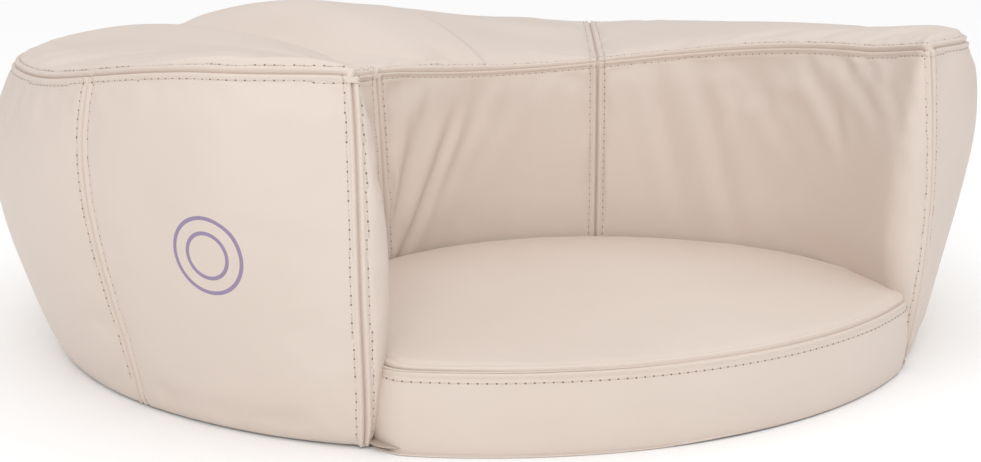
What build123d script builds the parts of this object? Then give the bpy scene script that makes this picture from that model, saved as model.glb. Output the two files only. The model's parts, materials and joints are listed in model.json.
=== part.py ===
from build123d import *
import math
import os

# Round floor seat: a crescent-shaped padded wall with a seat cushion in its hollow.
# Millimetres, +Z up, front towards -Y. Left is -X and right is +X, as seen from the front.
# The origin is the centre of the round base, on the floor.

# ---- driving dimensions: outline ----
base_radius = 370.0         # outer circle where the wall meets the floor
flank_radius = 389.0        # outer circle at flank_z
flank_z = 80.0
bulge_radius = 400.0        # widest circle
bulge_z = 170.0
rim_radius = 387.0          # outer circle at the top seam
rim_z = 232.0               # height of the top seams
wall_top = 252.0            # crown of the top panels
hollow_y = -228.0           # axis of the seat hollow, in front of the base axis
hollow_radius = 230.0       # hollow below the seat's top seam
hollow_rim_radius = 237.0   # hollow at the top seam
tip_rounding = 12.0         # rounding of the two arm tips, seen from above
crown_rounding = 9.0        # rounding between the top panels and the walls

# ---- driving dimensions: layers ----
leather = 1.2               # cover panels
wadding = 4.0               # fibre wrap over the wall's foam
base_thickness = 2.0        # non-slip base sheet
strip_thickness = 0.9       # one half of a hook and loop strip
layer_gap = 0.2             # air between the seat cushion and what it rests on

# ---- driving dimensions: where the wall panels meet ----
back_half_angle = 25.0      # back panels, each way from the rear, about the hollow axis
outer_back_half_angle = 41.4    # the same seams where they reach the outer wall, about the base axis
outer_front_half_angle = 70.0   # front outer panels end here, each way from the front
core_split_angle = 72.0     # arm foam is glued up from two blocks, split here from the rear

# ---- driving dimensions: seat cushion ----
seat_radius = 226.0         # sides and back of the cushion, about the hollow axis
seat_front_radius = 366.0   # front of the cushion, about the base axis
seat_seam_z = 58.0
seat_top = 67.0
seat_corner = 16.0
seat_crown_rounding = 8.0
base_foam_top = 36.0
seat_wadding = 5.0
front_boxing_y = -272.0     # the front boxing ends here, just inside the arms

# ---- driving dimensions: zips ----
tooth_band = 5.0            # height of the closed chain
tooth_depth = 1.6
tape_width = 24.0
tape_thickness = 0.6
zip_window = 8.0            # slot in the cover that the chain shows through
slider_length = 12.0
slider_plate = 1.0
slider_lip = 0.9
running_gap = 0.3
cover_zip_z = 20.0
cover_zip_half_angle = 36.0     # about the base axis, each way from the rear
seat_zip_z = 30.0
seat_zip_half_angle = 60.0      # about the hollow axis, each way from the rear
zip_stop_angle = 0.4
pin_radius = 0.8
pull_length = 26.0
pull_width = 7.0
pull_thickness = 1.2
pull_eye = 2.4

# ---- driving dimensions: hook and loop strips ----
strip_length = 180.0
strip_width = 25.0
strip_spacing = 150.0

# ---- worked out ----
seat_floor = base_thickness + 2 * strip_thickness + layer_gap
reach = 600.0               # larger than the seat in every direction
base_axis = Axis((0, 0, 0), (0, 0, 1))
hollow_axis = Axis((0, hollow_y, 0), (0, 0, 1))
parting_y = -109.0          # axis of the surface that parts the outer panels from the inner ones


def save(piece, name):
    """Label a finished piece and write it."""
    piece.part.label = name
    export_step(piece.part, f"parts/{name}.step")


def tip_apex(outer, hollow):
    """Front of the rounded +X arm tip between an outer circle and the hollow's circle, seen from above."""
    near_outer = outer - tip_rounding
    near_hollow = hollow + tip_rounding
    y = (near_outer**2 - near_hollow**2 + hollow_y**2) / (2 * hollow_y)
    middle = Vector(math.sqrt(near_outer**2 - y**2), y)
    outwards = middle.normalized()
    inwards = (Vector(0, hollow_y) - middle).normalized()
    return middle + (outwards + inwards).normalized() * tip_rounding


def parting_body():
    """Round body whose side runs down the middle of both arm tips, so it parts outer from inner panels."""
    sides = []
    for outer, hollow, z in (
        (base_radius, hollow_radius, base_thickness),
        (bulge_radius, (hollow_radius + hollow_rim_radius) / 2, bulge_z),
        (rim_radius, hollow_rim_radius, rim_z),
    ):
        sides.append(((tip_apex(outer, hollow) - Vector(0, parting_y)).length, z))
    with BuildPart() as body:
        with BuildSketch(Plane.XZ.offset(-parting_y)):
            with BuildLine():
                side = Spline(*sides)
                Polyline(side @ 1, (0, rim_z), (0, base_thickness), side @ 0)
            make_face()
        revolve(axis=Axis((0, parting_y, 0), (0, 0, 1)))
    return body.part


def outer_radius(z):
    """Radius of the outer wall's surface near the floor, between the base and the flank."""
    return base_radius + (flank_radius - base_radius) * z / flank_z


def wall_block(inset):
    """The whole crescent wall as one solid, its surface moved inwards by inset."""
    top = wall_top - inset
    with BuildPart() as block:
        with BuildSketch(Plane.XZ):
            with BuildLine():
                side = Spline(
                    (base_radius - inset, base_thickness),
                    (flank_radius - inset, flank_z),
                    (bulge_radius - inset, bulge_z),
                    (rim_radius - inset, rim_z),
                    (rim_radius - inset - 6, top),
                )
                Polyline(side @ 1, (0, top), (0, base_thickness), side @ 0)
            make_face()
        revolve(axis=Axis.Z)
        with BuildSketch(Plane.XZ.offset(-hollow_y)):
            with BuildLine():
                Polyline(
                    (0, base_thickness),
                    (hollow_radius + inset, base_thickness),
                    (hollow_radius + inset, seat_seam_z),
                    (hollow_rim_radius + inset, wall_top),
                    (0, wall_top),
                    close=True,
                )
            make_face()
        revolve(axis=hollow_axis, mode=Mode.SUBTRACT)
        tips = block.edges().filter_by(lambda e: e.center().Y < hollow_y and e.bounding_box().size.Z > 20)
        fillet(tips, tip_rounding - inset)
        crown = block.faces().sort_by(Axis.Z)[-1].edges()
        fillet(crown, crown_rounding - inset)
    return block.part


def sector(axis_y, start, end, low, high):
    """A wedge-shaped zone from a vertical axis, between two angles measured from the rear."""
    with BuildPart() as wedge:
        with BuildSketch(Plane.XY.offset(low)):
            with BuildLine():
                rim = CenterArc((0, axis_y), reach * 1.5, 90 + start, end - start)
                Polyline(rim @ 1, (0, axis_y), rim @ 0)
            make_face()
        extrude(amount=high - low)
    return wedge.part


def outer_zone(start, end):
    """The outer half of the wall below the rim, between two angles from the rear."""
    with BuildPart() as zone:
        add(sector(0, start, end, base_thickness, rim_z))
        add(parting, mode=Mode.SUBTRACT)
    return zone.part


def inner_zone(start, end):
    """The hollow side of the wall below the rim, between two angles about the hollow axis."""
    with BuildPart() as zone:
        add(sector(hollow_y, start, end, base_thickness, rim_z))
        add(parting, mode=Mode.INTERSECT)
    return zone.part


def ring(radius, depth, low, high, axis_y, start, end):
    """An upright curved strip: inner radius, depth outwards, heights, axis and angles from the rear."""
    with BuildPart() as strip:
        with BuildSketch(Plane.XY.offset(low)):
            with BuildLine():
                near = CenterArc((0, axis_y), radius, 90 + start, end - start)
                far = CenterArc((0, axis_y), radius + depth, 90 + start, end - start)
                Line(near @ 0, far @ 0)
                Line(near @ 1, far @ 1)
            make_face()
        extrude(amount=high - low)
    return strip.part


os.makedirs("parts", exist_ok=True)

cover_body = wall_block(0)
wadding_body = wall_block(leather)
core_body = wall_block(leather + wadding)
parting = parting_body()

# Lower zip of the wall cover: an upright band round the back, a little above the floor.
zip_face = outer_radius(cover_zip_z)
zip_low = cover_zip_z - tape_width / 2
zip_high = cover_zip_z + tape_width / 2
window_low = cover_zip_z - zip_window / 2
window_high = cover_zip_z + zip_window / 2
chain_low = cover_zip_z - tooth_band / 2
chain_high = cover_zip_z + tooth_band / 2
chain_radius = zip_face - 1.4
tape_radius = chain_radius - tape_thickness
zip_pocket_radius = tape_radius - 0.2
pocket = ring(zip_pocket_radius, 30, zip_low - 1, zip_high + 1, 0,
              -cover_zip_half_angle - 1, cover_zip_half_angle + 1)

# ---- base sheet ----
with BuildPart() as base_panel:
    with BuildSketch(Plane.XY):
        Circle(base_radius - 0.5)
    extrude(amount=base_thickness)
save(base_panel, "base_panel")

# ---- foam cores and fibre wrap ----
for name, start, end in (
    ("left_arm_front_core", -180, -core_split_angle),
    ("left_arm_rear_core", -core_split_angle, -back_half_angle),
    ("back_core", -back_half_angle, back_half_angle),
    ("right_arm_rear_core", back_half_angle, core_split_angle),
    ("right_arm_front_core", core_split_angle, 180),
):
    with BuildPart() as core:
        add(core_body)
        add(sector(hollow_y, -end, -start, 0, reach), mode=Mode.INTERSECT)
        add(pocket, mode=Mode.SUBTRACT)
    save(core, name)

for name, start, end in (
    ("left_arm_wadding", -180, -back_half_angle),
    ("back_wadding", -back_half_angle, back_half_angle),
    ("right_arm_wadding", back_half_angle, 180),
):
    with BuildPart() as wrap:
        add(wadding_body)
        add(core_body, mode=Mode.SUBTRACT)
        add(sector(hollow_y, -end, -start, 0, reach), mode=Mode.INTERSECT)
        add(pocket, mode=Mode.SUBTRACT)
    save(wrap, name)

# ---- wall cover panels ----
with BuildPart() as cover_shell:
    add(cover_body)
    add(wadding_body, mode=Mode.SUBTRACT)

outer_front_start = 180 - outer_front_half_angle
for name, start, end in (
    ("outer_left_front_panel", -180, -outer_front_start),
    ("outer_left_side_panel", -outer_front_start, -outer_back_half_angle),
    ("outer_right_side_panel", outer_back_half_angle, outer_front_start),
    ("outer_right_front_panel", outer_front_start, 180),
):
    with BuildPart() as panel:
        add(cover_shell.part)
        add(outer_zone(-end, -start), mode=Mode.INTERSECT)
    save(panel, name)

with BuildPart() as outer_back_panel:
    add(cover_shell.part)
    add(outer_zone(-outer_back_half_angle, outer_back_half_angle), mode=Mode.INTERSECT)
    add(ring(zip_face - 10, 30, window_low, window_high, 0, -cover_zip_half_angle, cover_zip_half_angle),
        mode=Mode.SUBTRACT)
    add(ring(zip_pocket_radius - 5, tape_thickness + 5.3, zip_low - 1, zip_high + 1, 0,
             -cover_zip_half_angle - 1, cover_zip_half_angle + 1), mode=Mode.SUBTRACT)
save(outer_back_panel, "outer_back_panel")

for name, start, end in (
    ("inner_left_panel", -180, -back_half_angle),
    ("inner_back_panel", -back_half_angle, back_half_angle),
    ("inner_right_panel", back_half_angle, 180),
):
    with BuildPart() as panel:
        add(cover_shell.part)
        add(inner_zone(-end, -start), mode=Mode.INTERSECT)
    save(panel, name)

for name, start, end in (
    ("top_left_panel", -180, -back_half_angle),
    ("top_back_panel", -back_half_angle, back_half_angle),
    ("top_right_panel", back_half_angle, 180),
):
    with BuildPart() as panel:
        add(cover_shell.part)
        add(sector(hollow_y, -end, -start, rim_z, reach), mode=Mode.INTERSECT)
    save(panel, name)

# ---- zip of the wall cover ----
with BuildPart() as cover_zip_tapes:
    add(ring(tape_radius, tape_thickness, cover_zip_z + 0.4, zip_high, 0,
             -cover_zip_half_angle, cover_zip_half_angle))
    add(ring(tape_radius, tape_thickness, zip_low, cover_zip_z - 0.4, 0,
             -cover_zip_half_angle, cover_zip_half_angle))
save(cover_zip_tapes, "cover_zip_tapes")

chain_half_angle = cover_zip_half_angle - 1.5
with BuildPart() as cover_zip_teeth:
    add(ring(chain_radius, tooth_depth, chain_low, chain_high, 0, -chain_half_angle, chain_half_angle))
save(cover_zip_teeth, "cover_zip_teeth")

with BuildPart() as cover_zip_stops:
    for start in (chain_half_angle + 0.1, -chain_half_angle - 0.1 - zip_stop_angle):
        add(ring(chain_radius, tooth_depth + 0.5, chain_low, chain_high, 0, start, start + zip_stop_angle))
save(cover_zip_stops, "cover_zip_stops")


def slider_body(axis_y, radius, low, high, start, length):
    """A bridge over the chain: a face plate with a lip above and a lip below, bent to the chain's curve."""
    span = math.degrees(length / radius)
    depth = tooth_depth + running_gap
    with BuildPart() as body:
        add(ring(radius + depth, slider_plate, low - running_gap - slider_lip,
                 high + running_gap + slider_lip, axis_y, start, start + span))
        add(ring(radius + running_gap, depth - running_gap, low - running_gap - slider_lip,
                 low - running_gap, axis_y, start, start + span))
        add(ring(radius + running_gap, depth - running_gap, high + running_gap,
                 high + running_gap + slider_lip, axis_y, start, start + span))
    return body.part


# The slider rests at the left end of the back, with the zip closed.
slider_span = math.degrees(slider_length / chain_radius)
slider_start = chain_half_angle - slider_span - 0.1
slider_middle = math.radians(90 + slider_start + slider_span / 2)
slider_face = chain_radius + tooth_depth + running_gap + slider_plate
pin_out = slider_face + pin_radius + 1.4
pin_x = pin_out * math.cos(slider_middle)
pin_y = pin_out * math.sin(slider_middle)
lug_reach = pin_out + pin_radius + 0.6 - slider_face + 0.3
slider_plane = Plane(
    origin=(
        (slider_face - 0.3) * math.cos(slider_middle),
        (slider_face - 0.3) * math.sin(slider_middle),
        cover_zip_z,
    ),
    x_dir=(-math.sin(slider_middle), math.cos(slider_middle), 0),
    z_dir=(math.cos(slider_middle), math.sin(slider_middle), 0),
)
with BuildPart() as cover_zip_slider:
    add(slider_body(0, chain_radius, chain_low, chain_high, slider_start, slider_length))
    with BuildSketch(slider_plane):
        with Locations((0, 2.4), (0, -2.4)):
            Rectangle(3.0, 1.2)
    extrude(amount=lug_reach)
    with BuildSketch(Plane.XY.offset(cover_zip_z - 2.4)):
        with Locations((pin_x, pin_y)):
            Circle(pin_radius)
    extrude(amount=4.8)
save(cover_zip_slider, "cover_zip_slider")

# The pull turns on the slider's upright pin and rests along the closed chain.
pull_plane = Plane(
    origin=(pin_x, pin_y, cover_zip_z - pull_thickness / 2),
    x_dir=(math.sin(slider_middle), -math.cos(slider_middle), 0),
    z_dir=(0, 0, 1),
)
with BuildPart() as cover_zip_pull:
    with BuildSketch(pull_plane):
        Circle(pull_eye / 2 + 0.6)
        with Locations(((pull_length - 3.0) / 2, 0)):
            Rectangle(pull_length - 3.0, 2.4)
        Circle(pin_radius + 0.15, mode=Mode.SUBTRACT)
    extrude(amount=pull_thickness)
    with BuildSketch(pull_plane.offset(pull_thickness / 2 - pull_width / 2)):
        with Locations((pull_length - 10.0, 0)):
            SlotOverall(16.0, 2.4)
    extrude(amount=pull_width)
save(cover_zip_pull, "cover_zip_pull")


# ---- seat cushion ----
def seat_block(inset):
    """The whole seat cushion as one solid, its surface moved inwards by inset."""
    with BuildPart() as block:
        with BuildSketch(Plane.XY.offset(seat_floor + inset)):
            with Locations((0, hollow_y)):
                Circle(seat_radius - inset)
            Circle(seat_front_radius - inset, mode=Mode.INTERSECT)
        extrude(amount=seat_top - seat_floor - 2 * inset)
        fillet(block.edges().filter_by(Axis.Z), seat_corner - inset)
        fillet(faces().sort_by(Axis.Z)[-1].edges(), seat_crown_rounding - inset)
    return block.part


def slab(low, high):
    """Everything between two heights."""
    with BuildPart() as zone:
        with BuildSketch(Plane.XY.offset(low)):
            Circle(reach)
        extrude(amount=high - low)
    return zone.part


seat_cover = seat_block(0)
seat_filling = seat_block(leather)
foam_top = seat_top - leather - seat_wadding

seat_chain_radius = seat_radius - 1.4
seat_tape_radius = seat_chain_radius - tape_thickness
seat_zip_low = seat_zip_z - tape_width / 2
seat_zip_high = seat_zip_z + tape_width / 2
seat_pocket = ring(seat_tape_radius - 0.2, 20, seat_zip_low - 1, seat_zip_high + 1, hollow_y,
                   -seat_zip_half_angle - 1, seat_zip_half_angle + 1)

for name, low, high in (
    ("seat_base_foam", 0, base_foam_top),
    ("seat_comfort_foam", base_foam_top, foam_top),
    ("seat_wadding", foam_top, reach),
):
    with BuildPart() as filling:
        add(seat_filling)
        add(slab(low, high), mode=Mode.INTERSECT)
        add(seat_pocket, mode=Mode.SUBTRACT)
    save(filling, name)

with BuildPart() as seat_shell:
    add(seat_cover)
    add(seat_filling, mode=Mode.SUBTRACT)

with BuildPart() as seat_top_panel:
    add(seat_shell.part)
    add(slab(seat_seam_z, reach), mode=Mode.INTERSECT)
save(seat_top_panel, "seat_top_panel")

with BuildPart() as seat_bottom_panel:
    add(seat_shell.part)
    add(slab(0, seat_floor + leather), mode=Mode.INTERSECT)
save(seat_bottom_panel, "seat_bottom_panel")

boxing_zone = slab(seat_floor + leather, seat_seam_z)
with BuildPart() as seat_front_boxing:
    add(seat_shell.part)
    add(boxing_zone, mode=Mode.INTERSECT)
    with BuildSketch(Plane.XY):
        with Locations((0, front_boxing_y)):
            Rectangle(2 * reach, reach, align=(Align.CENTER, Align.MAX))
    extrude(amount=reach, mode=Mode.INTERSECT)
save(seat_front_boxing, "seat_front_boxing")

with BuildPart() as seat_rear_boxing:
    add(seat_shell.part)
    add(boxing_zone, mode=Mode.INTERSECT)
    with BuildSketch(Plane.XY):
        with Locations((0, front_boxing_y)):
            Rectangle(2 * reach, 2 * reach, align=(Align.CENTER, Align.MIN))
    extrude(amount=reach, mode=Mode.INTERSECT)
    add(ring(seat_radius - 10, 20, seat_zip_z - zip_window / 2, seat_zip_z + zip_window / 2, hollow_y,
             -seat_zip_half_angle, seat_zip_half_angle), mode=Mode.SUBTRACT)
    add(ring(seat_radius - 10, 10 - 1.4, seat_zip_low - 1, seat_zip_high + 1, hollow_y,
             -seat_zip_half_angle - 1, seat_zip_half_angle + 1), mode=Mode.SUBTRACT)
save(seat_rear_boxing, "seat_rear_boxing")

# ---- zip of the seat cover: a child-safe slider without a pull ----
with BuildPart() as seat_zip_tapes:
    add(ring(seat_tape_radius, tape_thickness, seat_zip_z + 0.4, seat_zip_high, hollow_y,
             -seat_zip_half_angle, seat_zip_half_angle))
    add(ring(seat_tape_radius, tape_thickness, seat_zip_low, seat_zip_z - 0.4, hollow_y,
             -seat_zip_half_angle, seat_zip_half_angle))
save(seat_zip_tapes, "seat_zip_tapes")

seat_chain_half_angle = seat_zip_half_angle - 2.0
seat_chain_low = seat_zip_z - tooth_band / 2
seat_chain_high = seat_zip_z + tooth_band / 2
with BuildPart() as seat_zip_teeth:
    add(ring(seat_chain_radius, tooth_depth, seat_chain_low, seat_chain_high, hollow_y,
             -seat_chain_half_angle, seat_chain_half_angle))
save(seat_zip_teeth, "seat_zip_teeth")

with BuildPart() as seat_zip_stops:
    for start in (seat_chain_half_angle + 0.1, -seat_chain_half_angle - 0.1 - zip_stop_angle):
        add(ring(seat_chain_radius, tooth_depth + 0.5, seat_chain_low, seat_chain_high, hollow_y,
                 start, start + zip_stop_angle))
save(seat_zip_stops, "seat_zip_stops")

seat_slider_span = math.degrees(slider_length / seat_chain_radius)
seat_slider_start = seat_chain_half_angle - seat_slider_span - 0.1
with BuildPart() as seat_zip_slider:
    add(slider_body(hollow_y, seat_chain_radius, seat_chain_low, seat_chain_high,
                    seat_slider_start, slider_length))
save(seat_zip_slider, "seat_zip_slider")

# ---- hook and loop strips that keep the seat cushion in its hollow ----
strip_places = [(0, hollow_y - strip_spacing / 2), (0, hollow_y + strip_spacing / 2)]
with BuildPart() as base_loop_strips:
    with BuildSketch(Plane.XY.offset(base_thickness)):
        with Locations(*strip_places):
            Rectangle(strip_length, strip_width)
    extrude(amount=strip_thickness)
save(base_loop_strips, "base_loop_strips")

with BuildPart() as seat_hook_strips:
    with BuildSketch(Plane.XY.offset(seat_floor)):
        with Locations(*strip_places):
            Rectangle(strip_length, strip_width)
    extrude(amount=-strip_thickness)
save(seat_hook_strips, "seat_hook_strips")

print("zip pull pin", round(pin_x, 3), round(pin_y, 3))
print("cover zip travel in degrees", round(2 * chain_half_angle - slider_span - 0.2, 2))
print("seat zip travel in degrees", round(2 * seat_chain_half_angle - seat_slider_span - 0.2, 2))
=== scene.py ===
import json
import math

import bmesh
import bpy
from mathutils import Matrix, Vector, noise
from mathutils.bvhtree import BVHTree
from mathutils.kdtree import KDTree


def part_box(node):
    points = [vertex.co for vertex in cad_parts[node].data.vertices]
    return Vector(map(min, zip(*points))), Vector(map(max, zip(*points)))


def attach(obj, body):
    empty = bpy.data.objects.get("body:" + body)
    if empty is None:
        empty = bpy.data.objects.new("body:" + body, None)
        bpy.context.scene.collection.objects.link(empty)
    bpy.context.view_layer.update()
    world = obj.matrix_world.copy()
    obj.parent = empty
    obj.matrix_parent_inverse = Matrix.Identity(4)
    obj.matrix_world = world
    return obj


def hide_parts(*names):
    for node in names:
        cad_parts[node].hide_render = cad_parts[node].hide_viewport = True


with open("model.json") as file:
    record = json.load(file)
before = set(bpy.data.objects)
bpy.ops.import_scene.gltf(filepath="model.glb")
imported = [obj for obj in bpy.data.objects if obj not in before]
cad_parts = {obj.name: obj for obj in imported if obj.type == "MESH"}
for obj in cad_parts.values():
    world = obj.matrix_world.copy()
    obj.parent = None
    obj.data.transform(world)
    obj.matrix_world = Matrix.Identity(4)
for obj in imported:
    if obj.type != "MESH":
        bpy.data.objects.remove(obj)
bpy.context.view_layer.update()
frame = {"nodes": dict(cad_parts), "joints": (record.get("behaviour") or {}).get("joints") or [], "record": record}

# ---- sizes read from the frame, in metres ----
joints = {j["name"]: j for j in frame["joints"]}
HOLLOW_Y = joints["seat_zip_travel"]["pos_m"][1]
SEAT_ZIP_Z = joints["seat_zip_travel"]["pos_m"][2]
COVER_ZIP_Z = joints["cover_zip_travel"]["pos_m"][2]
SEAT_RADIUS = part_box("seat_rear_boxing")[1].x + 0.0004
SEAT_FRONT = -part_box("seat_front_boxing")[0].y + 0.0004
SEAT_SEAM_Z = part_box("seat_front_boxing")[1].z
SEAT_TOP_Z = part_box("seat_top_panel")[1].z
BASE_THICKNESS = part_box("base_panel")[1].z

MM = 0.001
LEATHER = 1.2 * MM
WADDING = 4.0 * MM
# outer wall at the sides and near the arm tips:
# its radius at the floor, its radius at the rim, the swell between them, and how far the swell leans up
SIDE_WALL = (0.3693, 0.390, 0.0244, 1.35)
ARM_WALL = (0.3645, 0.389, 0.0138, 1.7)
# hollow side of the wall: radius at the floor and the rim, and how far its padding swells into the hollow
HOLLOW_WALL = (0.230, 0.237, 0.003)
WALL_FOOT_Z = 0.0012
BASE_SHEET_RADIUS = 0.356
SIDE_RIM_Z = 0.2285
ARM_RIM_Z = 0.2445
HOLLOW_RIM_Z = 0.236
HOLLOW_RIM_DROP = 0.0249
# dip of the hollow's rim beside its left cross seam: depth, station and half width in degrees
LEFT_DIP = 5.5 * MM
LEFT_DIP_STATION = -37
LEFT_DIP_WIDTH = 9
# how far the seams' topstitch rows lie from the seam, and the one round the cushion's sides
TOPSTITCH = 5.6 * MM
CUSHION_TOPSTITCH = 8.0 * MM
STITCH_PITCH = 6.0 * MM
STITCH_SIZE = (2.1 * MM, 0.42 * MM, 0.32 * MM)
# size of the dark beads of painted shade that are set in the needle holes
NEEDLE_HOLE_SIZE = (0.75 * MM, 0.6 * MM, 0.12 * MM)
# stations of the seams round the wall, in degrees from the rear; the tips are rounded from TIP to END
CROSS_OUTER = 41.4
SIDE_SEAM = 113.0
OUTER_TIP = 142.0
OUTER_END = 150.0
CROSS_INNER = 25.2
CROSS_INNER_LEFT = 29.0
INNER_TIP = 107.0
INNER_END = 115.0
# share of an arm's length that its top takes before the rounded tip
TIP_SHARE = 0.95
# rise of the top's padding over its seams: the back on the left and the right, and the arms
LEFT_CROWN = 39 * MM
RIGHT_CROWN = 12 * MM
ARM_CROWN = 6.5 * MM
# half the run of each zip round its wall, in degrees, and half the gap it leaves in the leather
COVER_ZIP_HALF = 36.0
SEAT_ZIP_HALF = 60.0
ZIP_GAP = 4.0 * MM
SEAT_ZIP_GAP = 4.8 * MM
# how much further out the cover's foot stands at the rear, over the zip's tapes
ZIP_BULK = 4.2 * MM
# valleys across the top at its cross seams: how much of the crown they take away, and how far they run
RIGHT_VALLEY = (0.92, 0.12)
LEFT_VALLEY = (1.0, 0.05)
# spacing of the leather's grids, and the girths that they are spaced for
GRID = 7 * MM
FINE_GRID = 6 * MM
TOP_GRID = 8 * MM
CUSHION_GRID = 9 * MM
WALL_GIRTH = 0.24
TOP_GIRTH = 0.2
CUSHION_GIRTH = 0.054
# gap between the wadding and the foam cores
CORE_GAP = 3.0 * MM
# how far under the leather the wadding starts, taken off its thickness
WADDING_TUCK = 1.6 * MM
# the cloth simulation: mesh size, pressure, spare cloth, furthest move, and its last frame
CLOTH_VOXEL = 6 * MM
CLOTH_PRESSURE = 4.0
CLOTH_SLACK = 0.02
CLOTH_MOST = 3.2 * MM
CLOTH_FRAMES = 20
# the cushion: rounding of its front corners, how far they are drawn in beside the arm tips,
# where its front boxing starts, and the height of its foot
CORNER = 22 * MM
END_PINCH = 7.5 * MM
FRONT_TURN = 0.268
SEAT_FOOT_Z = 4.4 * MM


def smooth(a, b, x):
    """0 below a, 1 above b, an S-curve between."""
    t = min(max((x - a) / (b - a), 0.0), 1.0)
    return t * t * (3 - 2 * t)


def mix(a, b, t):
    """The value at share t of the way from a to b."""
    return a + (b - a) * t


# ---------------------------------------------------------------- shape of the padded wall
def outer_rim_z(station):
    """Height of the outer top seam: level round the back and sides, higher on the arms."""
    return mix(SIDE_RIM_Z, ARM_RIM_Z, smooth(98, 130, station)) - 1.5 * MM * smooth(134, 150, station)


def inner_rim_z(station):
    """Height of the hollow's top seam: lowest at the back, rising to the arm tips."""
    c = math.cos(math.radians(min(abs(station), INNER_TIP)))
    drop = c**2.5 if c > 0 else -0.95 * abs(c)
    dip = LEFT_DIP * math.exp(-(((station - LEFT_DIP_STATION) / LEFT_DIP_WIDTH) ** 2))
    return HOLLOW_RIM_Z - HOLLOW_RIM_DROP * drop - dip


def outer_radius(station, v):
    """Radius of the outer wall at share v of its height."""
    arm = smooth(85, 134, station)
    foot, rim, swell, lean = (mix(a, b, arm) for a, b in zip(SIDE_WALL, ARM_WALL))
    foot += ZIP_BULK * (1 - smooth(38, 60, station))
    w = max(v, 0) ** lean
    body = mix(foot, rim, v) + swell * 4 * w * (1 - w)
    hem = 2.2 * MM * max(0.0, 1 - v / 0.03) ** 2
    return mix(body, tip_size(v)[0], smooth(130, OUTER_TIP + 1, station)) - hem


def tip_size(v):
    """An arm's tip at share v of its height: its outer and hollow radius, its rounding,
    and how far it is filled out, from 0 to 1."""
    fat = math.sin(math.pi * min(max(v, 0), 1) ** 0.9) ** 0.8 if 0 < v < 1 else 0.0
    outer = mix(0.3625, 0.3675, v) + 0.0105 * fat
    hollow = mix(0.2225, 0.2275, v) - 0.014 * fat
    return outer, hollow, (5.0 + 11.5 * fat) * MM, fat


def hollow_radius(station, v):
    """Radius of the hollow: its padding swells in, most of all at the arm tips."""
    foot, rim, swell = HOLLOW_WALL
    body = mix(foot, rim, v) - swell * math.sin(math.pi * min(max(v, 0), 1))
    return mix(body, tip_size(v)[1], smooth(62, INNER_TIP, station))


def tip_rounding(v):
    """The right arm's tip at share v of its height: its centre and rounding, and the ways
    from the centre to where the rounding starts, where it ends and where it is sewn."""
    outer, hollow, nose, fat = tip_size(v)
    near, far = outer - nose, hollow + nose
    y = (near**2 - far**2 + HOLLOW_Y**2) / (2 * HOLLOW_Y)
    centre = Vector((math.sqrt(max(near**2 - y**2, 0)), y, 0))
    outwards = centre.normalized()
    inwards = (Vector((0, HOLLOW_Y, 0)) - centre).normalized()
    return centre, nose, outwards, inwards, outwards.slerp(inwards, 0.24 - 0.13 * fat)


def outer_point(station, v):
    """Point on the outer wall; a negative station is on the left."""
    side, station = math.copysign(1, station), abs(station)
    centre, nose, outwards, _, seam = tip_rounding(v)
    if station <= OUTER_TIP:
        start = math.degrees(math.atan2(outwards.x, -outwards.y))
        angle = math.radians(180 - station * (180 - start) / OUTER_TIP)
        radius = outer_radius(station, v)
        p = Vector((radius * math.sin(angle), -radius * math.cos(angle), 0))
    else:
        share = min((station - OUTER_TIP) / (OUTER_END - OUTER_TIP), 1)
        p = centre + outwards.slerp(seam, share) * nose
    p.z = mix(WALL_FOOT_Z, outer_rim_z(station), v)
    p.x *= side
    return p


def inner_point(station, v):
    """Point on the wall's hollow side; a negative station is on the left."""
    rim_z = inner_rim_z(station)
    side, station = math.copysign(1, station), abs(station)
    centre, nose, _, inwards, seam = tip_rounding(v)
    if station <= INNER_TIP:
        end = math.degrees(math.atan2(-inwards.x, -inwards.y))
        angle = math.radians(station * end / INNER_TIP)
        radius = hollow_radius(station, v)
        p = Vector((radius * math.sin(angle), HOLLOW_Y + radius * math.cos(angle), 0))
    else:
        share = min((station - INNER_TIP) / (INNER_END - INNER_TIP), 1)
        p = centre + inwards.slerp(seam, share) * nose
    p.z = mix(WALL_FOOT_Z, rim_z, v)
    p.x *= side
    return p


def top_stations(g):
    """Hollow and outer stations of the top at g: 0 at the rear, 1 at a cross seam, 2 at a tip."""
    side, g = math.copysign(1, g), min(abs(g), 2.0)
    cross = CROSS_INNER if side > 0 else CROSS_INNER_LEFT
    if g <= 1:
        return side * g * cross, side * g * CROSS_OUTER
    s = (g - 1) / TIP_SHARE
    if s <= 1:
        return side * mix(cross, INNER_TIP, s), side * mix(CROSS_OUTER, OUTER_TIP, s)
    s = (s - 1) * TIP_SHARE / (1 - TIP_SHARE)
    return side * mix(INNER_TIP, INNER_END, s), side * mix(OUTER_TIP, OUTER_END, s)


def top_point(g, w):
    """Point on the top of the wall: w from the hollow's seam (0) to the outer seam (1)."""
    inner_station, outer_station = top_stations(g)
    a, b = inner_point(inner_station, 1), outer_point(outer_station, 1)
    width = (b - a).length
    p = a.lerp(b, w)
    edge = min(w, 1 - w) * width
    shoulder = 5 * MM * (1 - math.exp(-edge / (4.5 * MM)))
    back = mix(LEFT_CROWN, RIGHT_CROWN, smooth(-0.9, 1.0, g))
    crown = mix(back, ARM_CROWN, smooth(18, 60, abs(inner_station)))
    crown *= max(0.0, math.sin(math.pi * w)) ** 0.9 * min(1.0, width / 0.08)
    run = abs(abs(g) - 1) * mix(0.11, 0.28, w) if abs(g) < 1 else (abs(g) - 1) * 0.55
    depth, reach = RIGHT_VALLEY if g > 0 else LEFT_VALLEY
    valley = math.exp(-((run / reach) ** 2))
    p.z += shoulder * mix(1, 0.5, valley) + crown * (1 - depth * valley)
    return p


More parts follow.
